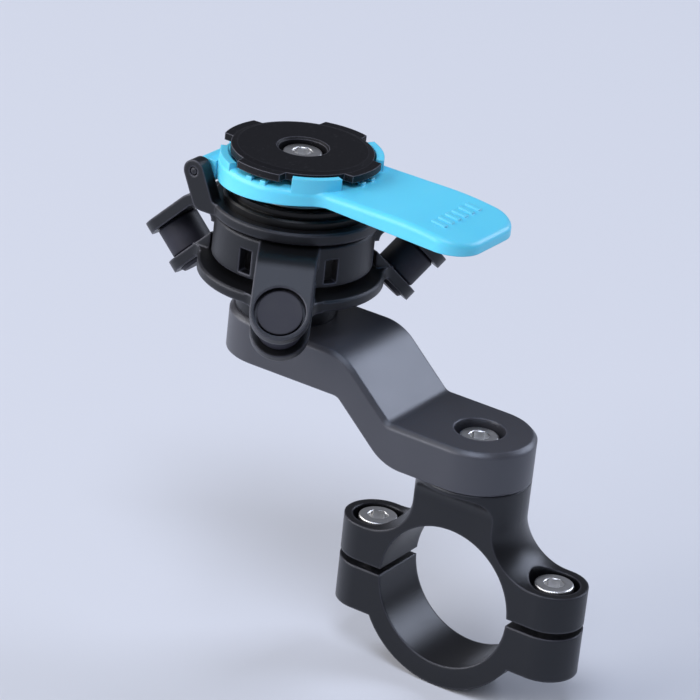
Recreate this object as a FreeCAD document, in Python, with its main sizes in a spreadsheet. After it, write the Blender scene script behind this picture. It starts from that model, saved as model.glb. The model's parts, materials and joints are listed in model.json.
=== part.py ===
import FreeCAD, Part
import math
import os
import Sketcher

# Bike phone mount: a bar clamp with a round pillar, an S-shaped offset arm, a damper on three
# rubber bushings and a quick-lock head with a thumb lever.
# Frame: origin on the bar's axis at the middle of the clamp, +Z up along the pillar, +Y along the bar,
# +X towards the rider. The arm runs to -X and carries the head.

Vector = FreeCAD.Vector
Rotation = FreeCAD.Rotation
Placement = FreeCAD.Placement

doc = FreeCAD.newDocument("BikePhoneMount")
sheet = doc.addObject("Spreadsheet::Sheet", "Sizes")

# Driving dimensions in millimetres
SIZES = (
    ("bar_diameter", 31.8),
    ("clamp_width", 14.6),
    ("clamp_gap", 1.6),
    ("clamp_wall", 4.2),
    ("lug_offset", 22.2),
    ("lug_top", 9.0),
    ("lug_depth", 10.0),
    ("pillar_diameter", 24.4),
    ("pillar_top", 27.4),
    ("pillar_brim", 1.2),
    ("flare_radius", 10.0),
    ("edge_break", 0.4),
    ("arm_thickness", 9.6),
    ("arm_reach", 50.7),
    ("arm_rise", 11.6),
    ("ramp_start", 15.4),
    ("ramp_run", 12.9),
    ("arm_outer_bend", 11.0),
    ("arm_inner_bend", 2.5),
    ("arm_chamfer", 0.9),
    ("screw_diameter", 5.0),
    ("screw_hole", 5.6),
    ("thread_fit", 0.04),
    ("screw_head", 8.5),
    ("screw_head_height", 5.0),
    ("screw_socket", 4.0),
    ("screw_socket_depth", 2.6),
    ("counterbore", 11.0),
    ("arm_bolt_recess", 1.3),
    ("base_bolt_recess", 0.3),
    ("clamp_bolt_length", 14.0),
    ("arm_bolt_length", 12.0),
    ("base_bolt_length", 10.0),
    ("head_screw_length", 16.0),
    ("thread_spare", 0.8),
    ("boss_diameter", 22.0),
    ("boss_height", 7.4),
    ("ring_clearance", 7.4),
    ("frame_plate", 2.5),
    ("bushing_circle", 54.8),
    ("bushing_height", 8.0),
    ("bushing_diameter", 9.6),
    ("bushing_span", 7.2),
    ("bushing_drop", 3.2),
    ("bushing_neck", 6.9),
    ("neck_fit", 0.1),
    ("bushing_lip", 0.8),
    ("bushing_bevel", 0.5),
    ("cap_height", 1.0),
    ("cap_web", 0.9),
    ("cap_recess", 10.8),
    ("plate_width", 12.6),
    ("plate_gap", 0.9),
    ("gusset_radius", 3.5),
    ("plate_bend", 5.5),
    ("wall_diameter", 34.4),
    ("wall_thickness", 2.4),
    ("wall_clearance", 2.1),
    ("deck_height", 21.0),
    ("root_fillet", 2.2),
    ("thread_boss", 12.0),
    ("thread_boss_depth", 5.4),
    ("shadow_step", 0.7),
    ("shadow_diameter", 31.2),
    ("window_width", 3.0),
    ("window_height", 5.4),
    ("flange_diameter", 36.4),
    ("flange_thickness", 2.6),
    ("hinge_reach", 17.4),
    ("hinge_height", 5.6),
    ("hinge_width", 22.4),
    ("hinge_gap", 0.6),
    ("ear_width", 3.2),
    ("ear_radius", 2.5),
    ("ear_corner", 2.5),
    ("ear_fillet", 1.0),
    ("pin_diameter", 2.0),
    ("pin_fit", 0.04),
    ("pin_play", 0.12),
    ("hub_diameter", 31.6),
    ("hub_step", 1.9),
    ("cup_diameter", 28.8),
    ("cup_wall", 1.5),
    ("cup_height", 1.3),
    ("groove_depth", 0.8),
    ("post_diameter", 17.2),
    ("slide_gap", 0.3),
    ("lever_height", 9.4),
    ("lever_ring", 35.0),
    ("lever_rear_depth", 5.2),
    ("lever_root_depth", 3.0),
    ("lever_end_depth", 4.5),
    ("lever_skin", 2.4),
    ("lever_bore_gap", 0.9),
    ("skirt_wall", 2.7),
    ("barrel_radius", 2.2),
    ("tab_length", 48.3),
    ("tab_width", 24.0),
    ("tab_corner", 7.0),
    ("tab_neck", 5.0),
    ("tab_rounding", 1.4),
    ("tab_wall", 2.2),
    ("tab_skin", 2.0),
    ("droop_start", 30.0),
    ("droop_radius", 80.0),
    ("block_inner", 15.6),
    ("block_outer", 17.3),
    ("front_block_height", 2.5),
    ("rear_block_height", 1.1),
    ("rib_width", 1.3),
    ("rib_height", 0.6),
    ("grip_start", 37.2),
    ("grip_length", 3.4),
    ("grip_width", 1.1),
    ("grip_height", 0.35),
    ("grip_pitch", 2.6),
    ("disc_gap", 1.3),
    ("disc_diameter", 30.4),
    ("disc_thickness", 1.9),
    ("disc_flat", 27.8),
    ("disc_slope", 0.35),
    ("disc_bevel", 0.45),
    ("lobe_radius", 17.2),
    ("disc_boss", 12.8),
    ("disc_boss_depth", 6.2),
    ("disc_counterbore", 10.3),
    ("screw_recess", 1.0),
    ("spring_wire", 0.8),
    ("spring_diameter", 21.4),
)

# Angles of the design, in degrees
BUSHING_TILT = 45.0
BUSHINGS = (("bushing_front", 180.0), ("bushing_left", -60.0), ("bushing_right", 60.0))
WINDOW_TURN = 32.0
EAR_LEAN = 25.0
FRONT_BLOCKS = (45.0, 315.0)
REAR_BLOCKS = (135.0, 225.0)
BLOCK_HALF = 18.0
LOBE_TURNS = (0.0, 90.0, 180.0, 270.0)
LOBE_HALF_ROOT = 24.5
LOBE_HALF_TIP = 18.0
RIB_TURN = 6.0
SPRING_TURNS = 3.0
GRIP_RIBS = 6
TAB_CELLS = 3

# Room past an edge for a cutting sketch
SPARE = 2.0
LONG_CUT = 200.0


class Dim:
    """A size that keeps its number and the sheet expression that drives it."""

    def __init__(self, text, value):
        self.text = text
        self.value = value

    def __add__(self, other):
        other = dim(other)
        return Dim(f"({self.text} + {other.text})", self.value + other.value)

    def __sub__(self, other):
        other = dim(other)
        return Dim(f"({self.text} - {other.text})", self.value - other.value)

    def __mul__(self, other):
        other = dim(other)
        return Dim(f"({self.text} * {other.text})", self.value * other.value)

    def __truediv__(self, other):
        other = dim(other)
        return Dim(f"({self.text} / {other.text})", self.value / other.value)

    def __neg__(self):
        return Dim(f"(-1 * {self.text})", -self.value)

    def __radd__(self, other):
        return dim(other) + self

    def __rsub__(self, other):
        return dim(other) - self

    def __rmul__(self, other):
        return dim(other) * self


def dim(amount):
    """A plain number as a Dim, or the Dim itself."""
    if isinstance(amount, Dim):
        return amount
    return Dim(repr(float(amount)), float(amount))


def root(amount):
    """Square root of a Dim."""
    return Dim(f"sqrt({amount.text})", math.sqrt(amount.value))


class Sizes:
    """The driving dimensions, one attribute for each alias of the sheet."""


s = Sizes()
for row, (alias, number) in enumerate(SIZES, start=1):
    sheet.set(f"A{row}", alias)
    sheet.set(f"B{row}", str(number))
    sheet.setAlias(f"B{row}", alias)
    setattr(s, alias, Dim(f"Sizes.{alias}", number))
doc.recompute()

# Levels above the bar's axis, from the clamp up to the disc
arm_top = s.pillar_top + s.arm_thickness
seat = arm_top + s.arm_rise
arm_under = seat - s.arm_thickness
ring_low = seat + s.boss_height
ring_top = ring_low + s.frame_plate
bushing_level = seat + s.bushing_height
deck_top = seat + s.deck_height
flange_low = deck_top + s.shadow_step
flange_top = flange_low + s.flange_thickness
step_top = flange_top + s.hub_step
groove_floor = step_top - s.groove_depth
hinge_level = flange_top + s.hinge_height
lever_top = flange_top + s.lever_height
lever_ceiling = lever_top - s.lever_skin
disc_low = lever_top + s.disc_gap
disc_top = disc_low + s.disc_thickness
screw_floor = disc_top - s.screw_recess - s.screw_head_height

# Radii that several pieces share
bar_radius = s.bar_diameter / 2
half_width = s.clamp_width / 2
pillar_radius = s.pillar_diameter / 2
thread_radius = (s.screw_diameter + s.thread_fit) / 2
hole_radius = s.screw_hole / 2
recess_radius = s.counterbore / 2
wall_radius = s.wall_diameter / 2
plate_half = s.plate_width / 2
neck_hole = (s.bushing_neck + s.neck_fit) / 2
circle_radius = s.bushing_circle / 2
inner_face = -s.bushing_drop
outer_face = s.bushing_span - s.bushing_drop
head_x = -s.arm_reach

tilt_sin = math.sin(math.radians(BUSHING_TILT))
tilt_cos = math.cos(math.radians(BUSHING_TILT))


def bind(thing, path, amount):
    """Drives one property from the sheet; a plain number needs no expression."""
    if "Sizes." in dim(amount).text:
        thing.setExpression(path, dim(amount).text)


def new_body(label, x=0.0, y=0.0, z=0.0, turn=Rotation()):
    """An empty body at a place that follows the sheet."""
    body = doc.addObject("PartDesign::Body", label)
    body.Label = label
    body.Placement = Placement(Vector(dim(x).value, dim(y).value, dim(z).value), turn)
    for axis, amount in (("x", x), ("y", y), ("z", z)):
        bind(body, f"Placement.Base.{axis}", amount)
    return body


def new_sketch(body, plane, base=(0.0, 0.0, 0.0), turn=Rotation()):
    """A sketch on one of the body's own planes, moved by base and turned, in that plane's axes."""
    sketch = body.newObject("Sketcher::SketchObject", f"{body.Label}_sketch")
    support = [item for item in body.Origin.OriginFeatures if item.Role == plane]
    sketch.AttachmentSupport = [(support[0], "")]
    sketch.MapMode = "FlatFace"
    sketch.AttachmentOffset = Placement(Vector(*[dim(amount).value for amount in base]), turn)
    for axis, amount in zip("xyz", base):
        bind(sketch, f"AttachmentOffset.Base.{axis}", amount)
    return sketch


def fix(sketch, kind, first, second, amount):
    """One dimension of a sketch, driven from the sheet."""
    index = sketch.addConstraint(Sketcher.Constraint(kind, *first, *second, dim(amount).value))
    bind(sketch, f"Constraints[{index}]", amount)


def fix_point(sketch, shape, end, x, y):
    """Sets the place of one end or centre of a sketch line, arc or circle."""
    for kind, axis, amount in (("DistanceX", -2, x), ("DistanceY", -1, y)):
        if dim(amount).value == 0.0 and "Sizes." not in dim(amount).text:
            sketch.addConstraint(Sketcher.Constraint("PointOnObject", shape, end, axis))
        else:
            fix(sketch, kind, (-1, 1), (shape, end), amount)


def outline(sketch, points, bends=None):
    """A closed outline. bends gives the radius of the arc after a point: plus turns left, minus right."""
    bends = bends or {}
    corners = [Vector(dim(x).value, dim(y).value, 0) for x, y in points]
    ends = []
    for number, corner in enumerate(corners):
        target = corners[(number + 1) % len(corners)]
        if number not in bends:
            shape = sketch.addGeometry(Part.LineSegment(corner, target), False)
            ends.append((shape, 1, 2))
            continue
        side, radius = bends[number]
        chord = target - corner
        middle = (corner + target) * 0.5
        rise = math.sqrt(max(radius.value ** 2 - (chord.Length / 2) ** 2, 0.0))
        normal = Vector(-chord.y, chord.x, 0).normalize()
        centre = middle + normal * (rise * side)
        circle = Part.Circle(centre, Vector(0, 0, 1), radius.value)
        angles = [math.atan2(end.y - centre.y, end.x - centre.x) for end in (corner, target)]
        if side > 0:
            shape = sketch.addGeometry(Part.ArcOfCircle(circle, angles[0], angles[1]), False)
            ends.append((shape, 1, 2))
        else:
            shape = sketch.addGeometry(Part.ArcOfCircle(circle, angles[1], angles[0]), False)
            ends.append((shape, 2, 1))
    for number, (shape, start, end) in enumerate(ends):
        following, following_start, _ = ends[(number + 1) % len(ends)]
        sketch.addConstraint(Sketcher.Constraint("Coincident", shape, end, following, following_start))
    for number, (x, y) in enumerate(points):
        fix_point(sketch, ends[number][0], ends[number][1], x, y)
    for number, (side, radius) in bends.items():
        fix(sketch, "Radius", (ends[number][0],), (), radius)


def ring(sketch, radius, x=0.0, y=0.0):
    """A full circle in a sketch."""
    centre = Vector(dim(x).value, dim(y).value, 0)
    shape = sketch.addGeometry(Part.Circle(centre, Vector(0, 0, 1), radius.value), False)
    fix_point(sketch, shape, 3, x, y)
    fix(sketch, "Radius", (shape,), (), radius)


def extrude(kind, sketch, length, side="One side", flip=False):
    """A pad or pocket of a sketch."""
    feature = sketch.getParentGeoFeatureGroup().newObject(f"PartDesign::{kind}", f"{sketch.Name}_{kind}")
    feature.Profile = (sketch, [""])
    feature.SideType = side
    feature.Reversed = flip
    feature.Length = dim(length).value
    bind(feature, "Length", length)
    return feature


def pad(sketch, length, **options):
    return extrude("Pad", sketch, length, **options)


def pocket(sketch, length, **options):
    return extrude("Pocket", sketch, length, **options)


def revolve(sketch):
    """A full turn of a sketch about its own upright axis."""
    body = sketch.getParentGeoFeatureGroup()
    feature = body.newObject("PartDesign::Revolution", f"{sketch.Name}_Revolution")
    feature.Profile = (sketch, [""])
    feature.ReferenceAxis = (sketch, ["V_Axis"])
    feature.Angle = 360.0
    return feature


def dress(kind, body, size, choose):
    """A fillet or chamfer on the edges that choose(edge) picks."""
    doc.recompute()
    base = body.Tip
    names = [f"Edge{number}" for number, edge in enumerate(base.Shape.Edges, start=1) if choose(edge)]
    feature = body.newObject(f"PartDesign::{kind}", f"{body.Label}_{kind}")
    feature.Base = (base, names)
    measure = {"Fillet": "Radius", "Chamfer": "Size"}[kind]
    setattr(feature, measure, size.value)
    bind(feature, measure, size)
    doc.recompute()
    return feature


def about_z(turn):
    return Rotation(Vector(0, 0, 1), turn)


def about_y(turn):
    return Rotation(Vector(0, 1, 0), turn)


def on_circle(radius, turn):
    """x and y of a point on a circle about the upright axis."""
    angle = math.radians(turn)
    return radius * math.cos(angle), radius * math.sin(angle)


def slot_outline(sketch, half_length, radius):
    """A slot along X with round ends."""
    points = (
        (-half_length, -radius), (half_length, -radius), (half_length + radius, 0.0),
        (half_length, radius), (-half_length, radius), (-half_length - radius, 0.0),
    )
    outline(sketch, points, {1: (1, radius), 2: (1, radius), 4: (1, radius), 5: (1, radius)})


def round_end(sketch, radius, x=0.0, way=1):
    """The corners to cut away so that a strip along X ends in a half circle; way -1 ends it at -X."""
    far = radius + SPARE
    points = (
        (x, -far), (x + way * far, -far), (x + way * far, far),
        (x, far), (x, radius), (x + way * radius, 0.0), (x, -radius),
    )
    outline(sketch, points, {4: (-way, radius), 5: (-way, radius)})


def sector(sketch, inner, outer, half_inner, half_outer):
    """A piece of a ring, symmetric about X, with its own half angle at each radius."""
    low_in, low_out = on_circle(inner, -half_inner), on_circle(outer, -half_outer)
    high_out, high_in = on_circle(outer, half_outer), on_circle(inner, half_inner)
    outline(sketch, (low_in, low_out, high_out, high_in), {1: (1, outer), 3: (-1, inner)})


def tilted_plane(body, turn, offset):
    """A sketch square to a bushing's axis: its x runs outward and down, its normal outward and up."""
    radius = circle_radius + offset * tilt_sin
    x, y = on_circle(radius, turn)
    level = bushing_level + offset * tilt_cos
    return new_sketch(body, "XY_Plane", (x, y, level), about_z(turn) * about_y(BUSHING_TILT))


def radial_plane(body, turn):
    """An upright sketch through the body's axis: its x runs outward at that turn, its y up."""
    return new_sketch(body, "XZ_Plane", turn=about_y(turn))


def slope_point(offset, along):
    """Radius and level of a point by a bushing: offset along its axis, then outward and down."""
    radius = circle_radius + offset * tilt_sin + along * tilt_cos
    level = bushing_level + offset * tilt_cos - along * tilt_sin
    return radius, level


def make_upper_clamp():
    """The clamp's upper half: slot-shaped lugs, half bore and a flared neck under a round pillar."""
    body = new_body("upper_clamp")
    flare_foot = pillar_radius + s.flare_radius
    flare_head = s.lug_top + s.flare_radius
    neck = new_sketch(body, "XZ_Plane")
    outline(neck, (
        (0.0, s.lug_top / 2), (flare_foot, s.lug_top / 2), (flare_foot, s.lug_top),
        (pillar_radius, flare_head), (pillar_radius, s.pillar_top - s.edge_break),
        (pillar_radius - s.edge_break, s.pillar_top), (0.0, s.pillar_top),
    ), {2: (-1, s.flare_radius)})
    revolve(neck)
    sides = new_sketch(body, "YZ_Plane")
    under = pillar_radius + s.edge_break - half_width
    brim = s.pillar_top - s.pillar_brim
    far = flare_foot + SPARE
    for way in (1, -1):
        outline(sides, (
            (way * half_width, 0.0), (way * half_width, brim - under),
            (way * (half_width + under), brim), (way * far, brim), (way * far, 0.0),
        ), {1: (-way, under)})
    pocket(sides, 2 * far, side="Symmetric")
    lugs = new_sketch(body, "XY_Plane", (0.0, 0.0, s.clamp_gap / 2))
    slot_outline(lugs, s.lug_offset, half_width)
    pad(lugs, s.lug_top - s.clamp_gap / 2)
    bore = new_sketch(body, "XZ_Plane")
    ring(bore, bar_radius)
    pocket(bore, LONG_CUT, side="Symmetric")
    recesses = new_sketch(body, "XY_Plane", (0.0, 0.0, s.lug_top - s.screw_head_height))
    holes = new_sketch(body, "XY_Plane")
    for way in (1, -1):
        ring(recesses, recess_radius, way * s.lug_offset)
        ring(holes, hole_radius, way * s.lug_offset)
    pocket(recesses, s.screw_head_height + s.flare_radius, flip=True)
    pocket(holes, s.lug_top, flip=True)
    thread = new_sketch(body, "XY_Plane", (0.0, 0.0, s.pillar_top))
    ring(thread, thread_radius)
    grip = s.arm_bolt_length + s.thread_spare - (s.arm_thickness - s.arm_bolt_recess - s.screw_head_height)
    pocket(thread, grip)
    return body


def make_lower_clamp():
    """The clamp's lower half: a half ring with two threaded lugs."""
    body = new_body("lower_clamp")
    face = -s.clamp_gap / 2
    lugs = new_sketch(body, "XY_Plane", (0.0, 0.0, face))
    slot_outline(lugs, s.lug_offset, half_width)
    pad(lugs, s.lug_depth, flip=True)
    shell_radius = bar_radius + s.clamp_wall
    shell = new_sketch(body, "XZ_Plane")
    outline(shell, (
        (-shell_radius, face), (0.0, face - shell_radius), (shell_radius, face),
    ), {0: (1, shell_radius), 1: (1, shell_radius)})
    pad(shell, s.clamp_width, side="Symmetric")
    bore = new_sketch(body, "XZ_Plane")
    ring(bore, bar_radius)
    pocket(bore, LONG_CUT, side="Symmetric")
    threads = new_sketch(body, "XY_Plane")
    for way in (1, -1):
        ring(threads, thread_radius, way * s.lug_offset)
    pocket(threads, LONG_CUT, side="Symmetric")
    return body


def make_screw(label, length, x, z, turn=Rotation()):
    """A socket-head screw with its seat at z; the shank runs down from there."""
    body = new_body(label, x, 0.0, z, turn)
    head_radius = s.screw_head / 2
    shank = s.screw_diameter / 2
    tip = s.edge_break
    profile = new_sketch(body, "XZ_Plane")
    outline(profile, (
        (0.0, -length), (shank - tip, -length), (shank, tip - length), (shank, 0.0),
        (head_radius, 0.0), (head_radius, s.screw_head_height - tip),
        (head_radius - tip, s.screw_head_height), (0.0, s.screw_head_height),
    ))
    revolve(profile)
    socket = new_sketch(body, "XY_Plane", (0.0, 0.0, s.screw_head_height))
    corner = s.screw_socket * (1 / math.sqrt(3))
    outline(socket, [on_circle(corner, 60.0 * side) for side in range(6)])
    pocket(socket, s.screw_socket_depth)
    return body


def make_arm():
    """The offset arm: an S-shaped bar with round ends and a screw recess in each end."""
    body = new_body("arm")
    slant = root(s.arm_rise * s.arm_rise + s.ramp_run * s.ramp_run)
    slope_cos = s.ramp_run / slant
    slope_sin = s.arm_rise / slant
    tangent = (slant - s.ramp_run) / s.arm_rise
    outer = s.arm_outer_bend * tangent
    inner = s.arm_inner_bend * tangent
    high_x = -s.ramp_start - s.ramp_run
    low_x = -s.ramp_start
    end_x = head_x - pillar_radius
    profile = new_sketch(body, "XZ_Plane")
    outline(profile, (
        (pillar_radius, s.pillar_top), (pillar_radius, arm_top),
        (low_x + inner, arm_top), (low_x - inner * slope_cos, arm_top + inner * slope_sin),
        (high_x + outer * slope_cos, seat - outer * slope_sin), (high_x - outer, seat),
        (end_x, seat), (end_x, arm_under),
        (high_x - inner, arm_under), (high_x + inner * slope_cos, arm_under - inner * slope_sin),
        (low_x - outer * slope_cos, s.pillar_top + outer * slope_sin), (low_x + outer, s.pillar_top),
    ), {
        2: (-1, s.arm_inner_bend), 4: (1, s.arm_outer_bend),
        8: (-1, s.arm_inner_bend), 10: (1, s.arm_outer_bend),
    })
    pad(profile, s.pillar_diameter, side="Symmetric")
    ends = new_sketch(body, "XY_Plane")
    round_end(ends, pillar_radius)
    round_end(ends, pillar_radius, head_x, -1)
    pocket(ends, LONG_CUT, side="Symmetric")

    def on_top_rim(edge):
        ends_xy = [(round(v.X, 3), round(v.Y, 3)) for v in edge.Vertexes]
        if len(ends_xy) == 2 and ends_xy[0] == ends_xy[1]:
            return False
        middle = edge.valueAt((edge.FirstParameter + edge.LastParameter) / 2)
        share = (middle.x - low_x.value) / (high_x.value - low_x.value)
        top = arm_top.value + s.arm_rise.value * min(max(share, 0.0), 1.0)
        inside = abs(middle.y) < pillar_radius.value - 0.01
        between = head_x.value < middle.x < 0.0
        return middle.z > top - s.arm_thickness.value / 2 and not (inside and between)

    dress("Chamfer", body, s.arm_chamfer, on_top_rim)
    front_floor = arm_under + s.base_bolt_recess + s.screw_head_height
    rear_floor = arm_top - s.arm_bolt_recess - s.screw_head_height
    rear = new_sketch(body, "XY_Plane", (0.0, 0.0, rear_floor))
    ring(rear, recess_radius)
    pocket(rear, s.arm_thickness, flip=True)
    front = new_sketch(body, "XY_Plane", (0.0, 0.0, front_floor))
    ring(front, recess_radius, head_x)
    pocket(front, s.arm_thickness)
    holes = new_sketch(body, "XY_Plane")
    ring(holes, hole_radius)
    ring(holes, hole_radius, head_x)
    pocket(holes, LONG_CUT, side="Symmetric")
    return body


def make_damper_base():
    """The lower damper frame: a boss, a ring and three slanted plates that carry the bushings."""
    body = new_body("damper_base", head_x)
    boss_radius = s.boss_diameter / 2
    rim = circle_radius - s.ring_clearance
    profile = new_sketch(body, "XZ_Plane")
    outline(profile, (
        (0.0, seat), (boss_radius, seat), (boss_radius, ring_low), (rim - s.edge_break, ring_low),
        (rim, ring_low + s.edge_break), (rim, ring_top - s.edge_break), (rim - s.edge_break, ring_top),
        (0.0, ring_top),
    ))
    revolve(profile)
    reach = rim + s.gusset_radius
    wide = plate_half + s.gusset_radius
    web_x = root(reach * reach - wide * wide)
    share = rim / reach
    well = wall_radius + s.plate_gap
    inward = (circle_radius + inner_face * tilt_sin - well) / tilt_cos + s.frame_plate
    for label, turn in BUSHINGS:
        plate = tilted_plane(body, turn, inner_face)
        outline(plate, (
            (-inward, -plate_half), (0.0, -plate_half), (plate_half, 0.0), (0.0, plate_half),
            (-inward, plate_half),
        ), {1: (1, plate_half), 2: (1, plate_half)})
        pad(plate, s.frame_plate, flip=True)
        web = new_sketch(body, "XY_Plane", (0.0, 0.0, ring_low), about_z(turn))
        outline(web, (
            (boss_radius, -wide * share), (web_x * share, -wide * share), (web_x, -plate_half),
            (web_x, plate_half), (web_x * share, wide * share), (boss_radius, wide * share),
        ), {1: (-1, s.gusset_radius), 3: (-1, s.gusset_radius)})
        pad(web, s.frame_plate)
    room = new_sketch(body, "XY_Plane", (0.0, 0.0, ring_top))
    ring(room, well)
    pocket(room, LONG_CUT, flip=True)
    for label, turn in BUSHINGS:
        hole = tilted_plane(body, turn, inner_face - s.frame_plate / 2)
        ring(hole, neck_hole)
        pocket(hole, s.frame_plate * 2, side="Symmetric")
    thread = new_sketch(body, "XY_Plane", (0.0, 0.0, seat))
    ring(thread, thread_radius)
    clamped = s.arm_thickness - s.base_bolt_recess - s.screw_head_height
    pocket(thread, s.base_bolt_length + s.thread_spare - clamped, flip=True)
    return body


def make_damper_top():
    """The upper damper frame: a windowed wall under a deck, with three bent plates around it."""
    body = new_body("damper_top", head_x)
    deck_low = deck_top - s.frame_plate
    wall_low = ring_top + s.wall_clearance
    wall_in = wall_radius - s.wall_thickness
    boss_radius = s.thread_boss / 2
    boss_low = deck_low - s.thread_boss_depth
    step_radius = s.shadow_diameter / 2
    profile = new_sketch(body, "XZ_Plane")
    outline(profile, (
        (0.0, boss_low), (boss_radius, boss_low), (boss_radius, deck_low), (wall_in, deck_low),
        (wall_in, wall_low), (wall_radius, wall_low), (wall_radius, deck_top - s.edge_break),
        (wall_radius - s.edge_break, deck_top), (step_radius, deck_top), (step_radius, flange_low),
        (0.0, flange_low),
    ))
    revolve(profile)
    outer_offset = outer_face + s.frame_plate
    bend_half = math.tan(math.radians(BUSHING_TILT / 2))
    bend_inner = s.plate_bend - s.frame_plate
    corner_radius = circle_radius + outer_offset * tilt_sin + (
        bushing_level + outer_offset * tilt_cos - deck_top) * (tilt_cos / tilt_sin)
    bend_x = corner_radius - s.plate_bend * bend_half
    bend_level = deck_top - s.plate_bend
    root_x = wall_radius + s.root_fillet
    for label, turn in BUSHINGS:
        strip = radial_plane(body, turn)
        outline(strip, (
            (wall_in, deck_low - s.root_fillet), (wall_radius, deck_low - s.root_fillet),
            (root_x, deck_low), (bend_x, deck_low),
            (bend_x + bend_inner * tilt_sin, bend_level + bend_inner * tilt_cos),
            slope_point(outer_face, plate_half), slope_point(outer_offset, plate_half),
            (bend_x + s.plate_bend * tilt_sin, bend_level + s.plate_bend * tilt_cos),
            (bend_x, deck_top), (wall_in, deck_top),
        ), {1: (-1, s.root_fillet), 3: (-1, bend_inner), 7: (1, s.plate_bend)})
        pad(strip, s.plate_width, side="Symmetric")
    for label, turn in BUSHINGS:
        end = tilted_plane(body, turn, outer_face + s.frame_plate / 2)
        round_end(end, plate_half)
        pocket(end, s.frame_plate * 2, side="Symmetric")
        hole = tilted_plane(body, turn, outer_face + s.frame_plate / 2)
        ring(hole, neck_hole)
        pocket(hole, s.frame_plate * 2, side="Symmetric")
        recess = tilted_plane(body, turn, outer_face + s.cap_web)
        ring(recess, s.cap_recess / 2)
        pocket(recess, s.frame_plate * 2, flip=True)
    window_top = deck_low - s.edge_break
    for label, turn in BUSHINGS:
        for way in (1, -1):
            side_turn = about_y(turn + way * WINDOW_TURN)
            start = side_turn.multVec(Vector(0, 0, 1))
            inner = wall_in - SPARE
            window = new_sketch(body, "YZ_Plane", (inner * start.x, 0.0, inner * start.z), side_turn)
            edge = s.window_width / 2
            outline(window, (
                (-edge, window_top - s.window_height), (edge, window_top - s.window_height),
                (edge, window_top), (-edge, window_top),
            ))
            pocket(window, s.wall_thickness + 2 * SPARE, flip=True)
    thread = new_sketch(body, "XY_Plane", (0.0, 0.0, flange_low))
    ring(thread, thread_radius)
    pocket(thread, flange_low - boss_low)
    return body


def make_bushing(label, turn):
    """A rubber bushing: a barrel between the plates, a neck through each and a lip outside each."""
    x, y = on_circle(circle_radius, turn)
    body = new_body(label, head_x + x, y, bushing_level, about_z(turn) * about_y(BUSHING_TILT))
    barrel = s.bushing_diameter / 2
    neck = s.bushing_neck / 2
    bevel = s.bushing_bevel
    cap_low = outer_face + s.cap_web
    lip_top = inner_face - s.frame_plate
    profile = new_sketch(body, "XZ_Plane")
    outline(profile, (
        (0.0, lip_top - s.bushing_lip), (barrel - bevel, lip_top - s.bushing_lip),
        (barrel, lip_top), (neck, lip_top), (neck, inner_face), (barrel - bevel, inner_face),
        (barrel, inner_face + bevel), (barrel, outer_face - bevel), (barrel - bevel, outer_face),
        (neck, outer_face), (neck, cap_low), (barrel, cap_low), (barrel, cap_low + s.cap_height),
        (0.0, cap_low + s.cap_height),
    ))
    revolve(profile)
    return body


def make_top_plate():
    """The flange plate over the damper, with two ears that lean back and hold the lever's hinge pin."""
    body = new_body("top_plate", head_x)
    rim = s.flange_diameter / 2
    profile = new_sketch(body, "XZ_Plane")
    outline(profile, (
        (hole_radius, flange_low), (rim - s.edge_break, flange_low), (rim, flange_low + s.edge_break),
        (rim, flange_top - s.edge_break), (rim - s.edge_break, flange_top), (hole_radius, flange_top),
    ))
    revolve(profile)
    lean_sin = math.sin(math.radians(EAR_LEAN))
    lean_cos = math.cos(math.radians(EAR_LEAN))
    half_turn = math.tan(math.radians((90.0 - EAR_LEAN) / 2))
    ear = s.ear_radius

    def on_ear(across, down):
        """A point of the ear: across it from the pin towards the head, then down along it."""
        x = across * lean_cos + down * lean_sin - s.hinge_reach
        return x, hinge_level + across * lean_sin - down * lean_cos

    outer_foot = (s.hinge_height + s.flange_thickness - ear * lean_sin) / lean_cos
    inner_foot = (s.hinge_height + ear * lean_sin) / lean_cos
    corner = s.ear_corner * half_turn
    fillet = s.ear_fillet * half_turn
    outer_x = on_ear(-ear, outer_foot)[0]
    inner_x = on_ear(ear, inner_foot)[0]
    for level in (s.hinge_width / 2, -s.hinge_width / 2 - s.ear_width):
        side = new_sketch(body, "XZ_Plane", (0.0, 0.0, level))
        outline(side, (
            (-rim / 2, flange_low), (outer_x + corner, flange_low), on_ear(-ear, outer_foot - corner),
            on_ear(-ear, 0.0), on_ear(0.0, -ear), on_ear(ear, 0.0), on_ear(ear, inner_foot - fillet),
            (inner_x + fillet, flange_top), (-rim / 2, flange_top),
        ), {1: (-1, s.ear_corner), 3: (-1, ear), 4: (-1, ear), 6: (1, s.ear_fillet)})
        pad(side, s.ear_width)
    holes = new_sketch(body, "XZ_Plane")
    ring(holes, (s.pin_diameter + s.pin_fit) / 2, -s.hinge_reach, hinge_level)
    pocket(holes, LONG_CUT, side="Symmetric")
    return body


def make_hinge_pin():
    """The pin through both ears and the lever's barrel."""
    across = Rotation(Vector(1, 0, 0), 90.0)
    body = new_body("hinge_pin", head_x - s.hinge_reach, 0.0, hinge_level, across)
    radius = s.pin_diameter / 2
    end = s.hinge_width / 2 + s.ear_width
    tip = s.edge_break
    profile = new_sketch(body, "XZ_Plane")
    outline(profile, (
        (0.0, -end), (radius - tip, -end), (radius, tip - end), (radius, end - tip), (radius - tip, end),
        (0.0, end),
    ))
    revolve(profile)
    return body


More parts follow.
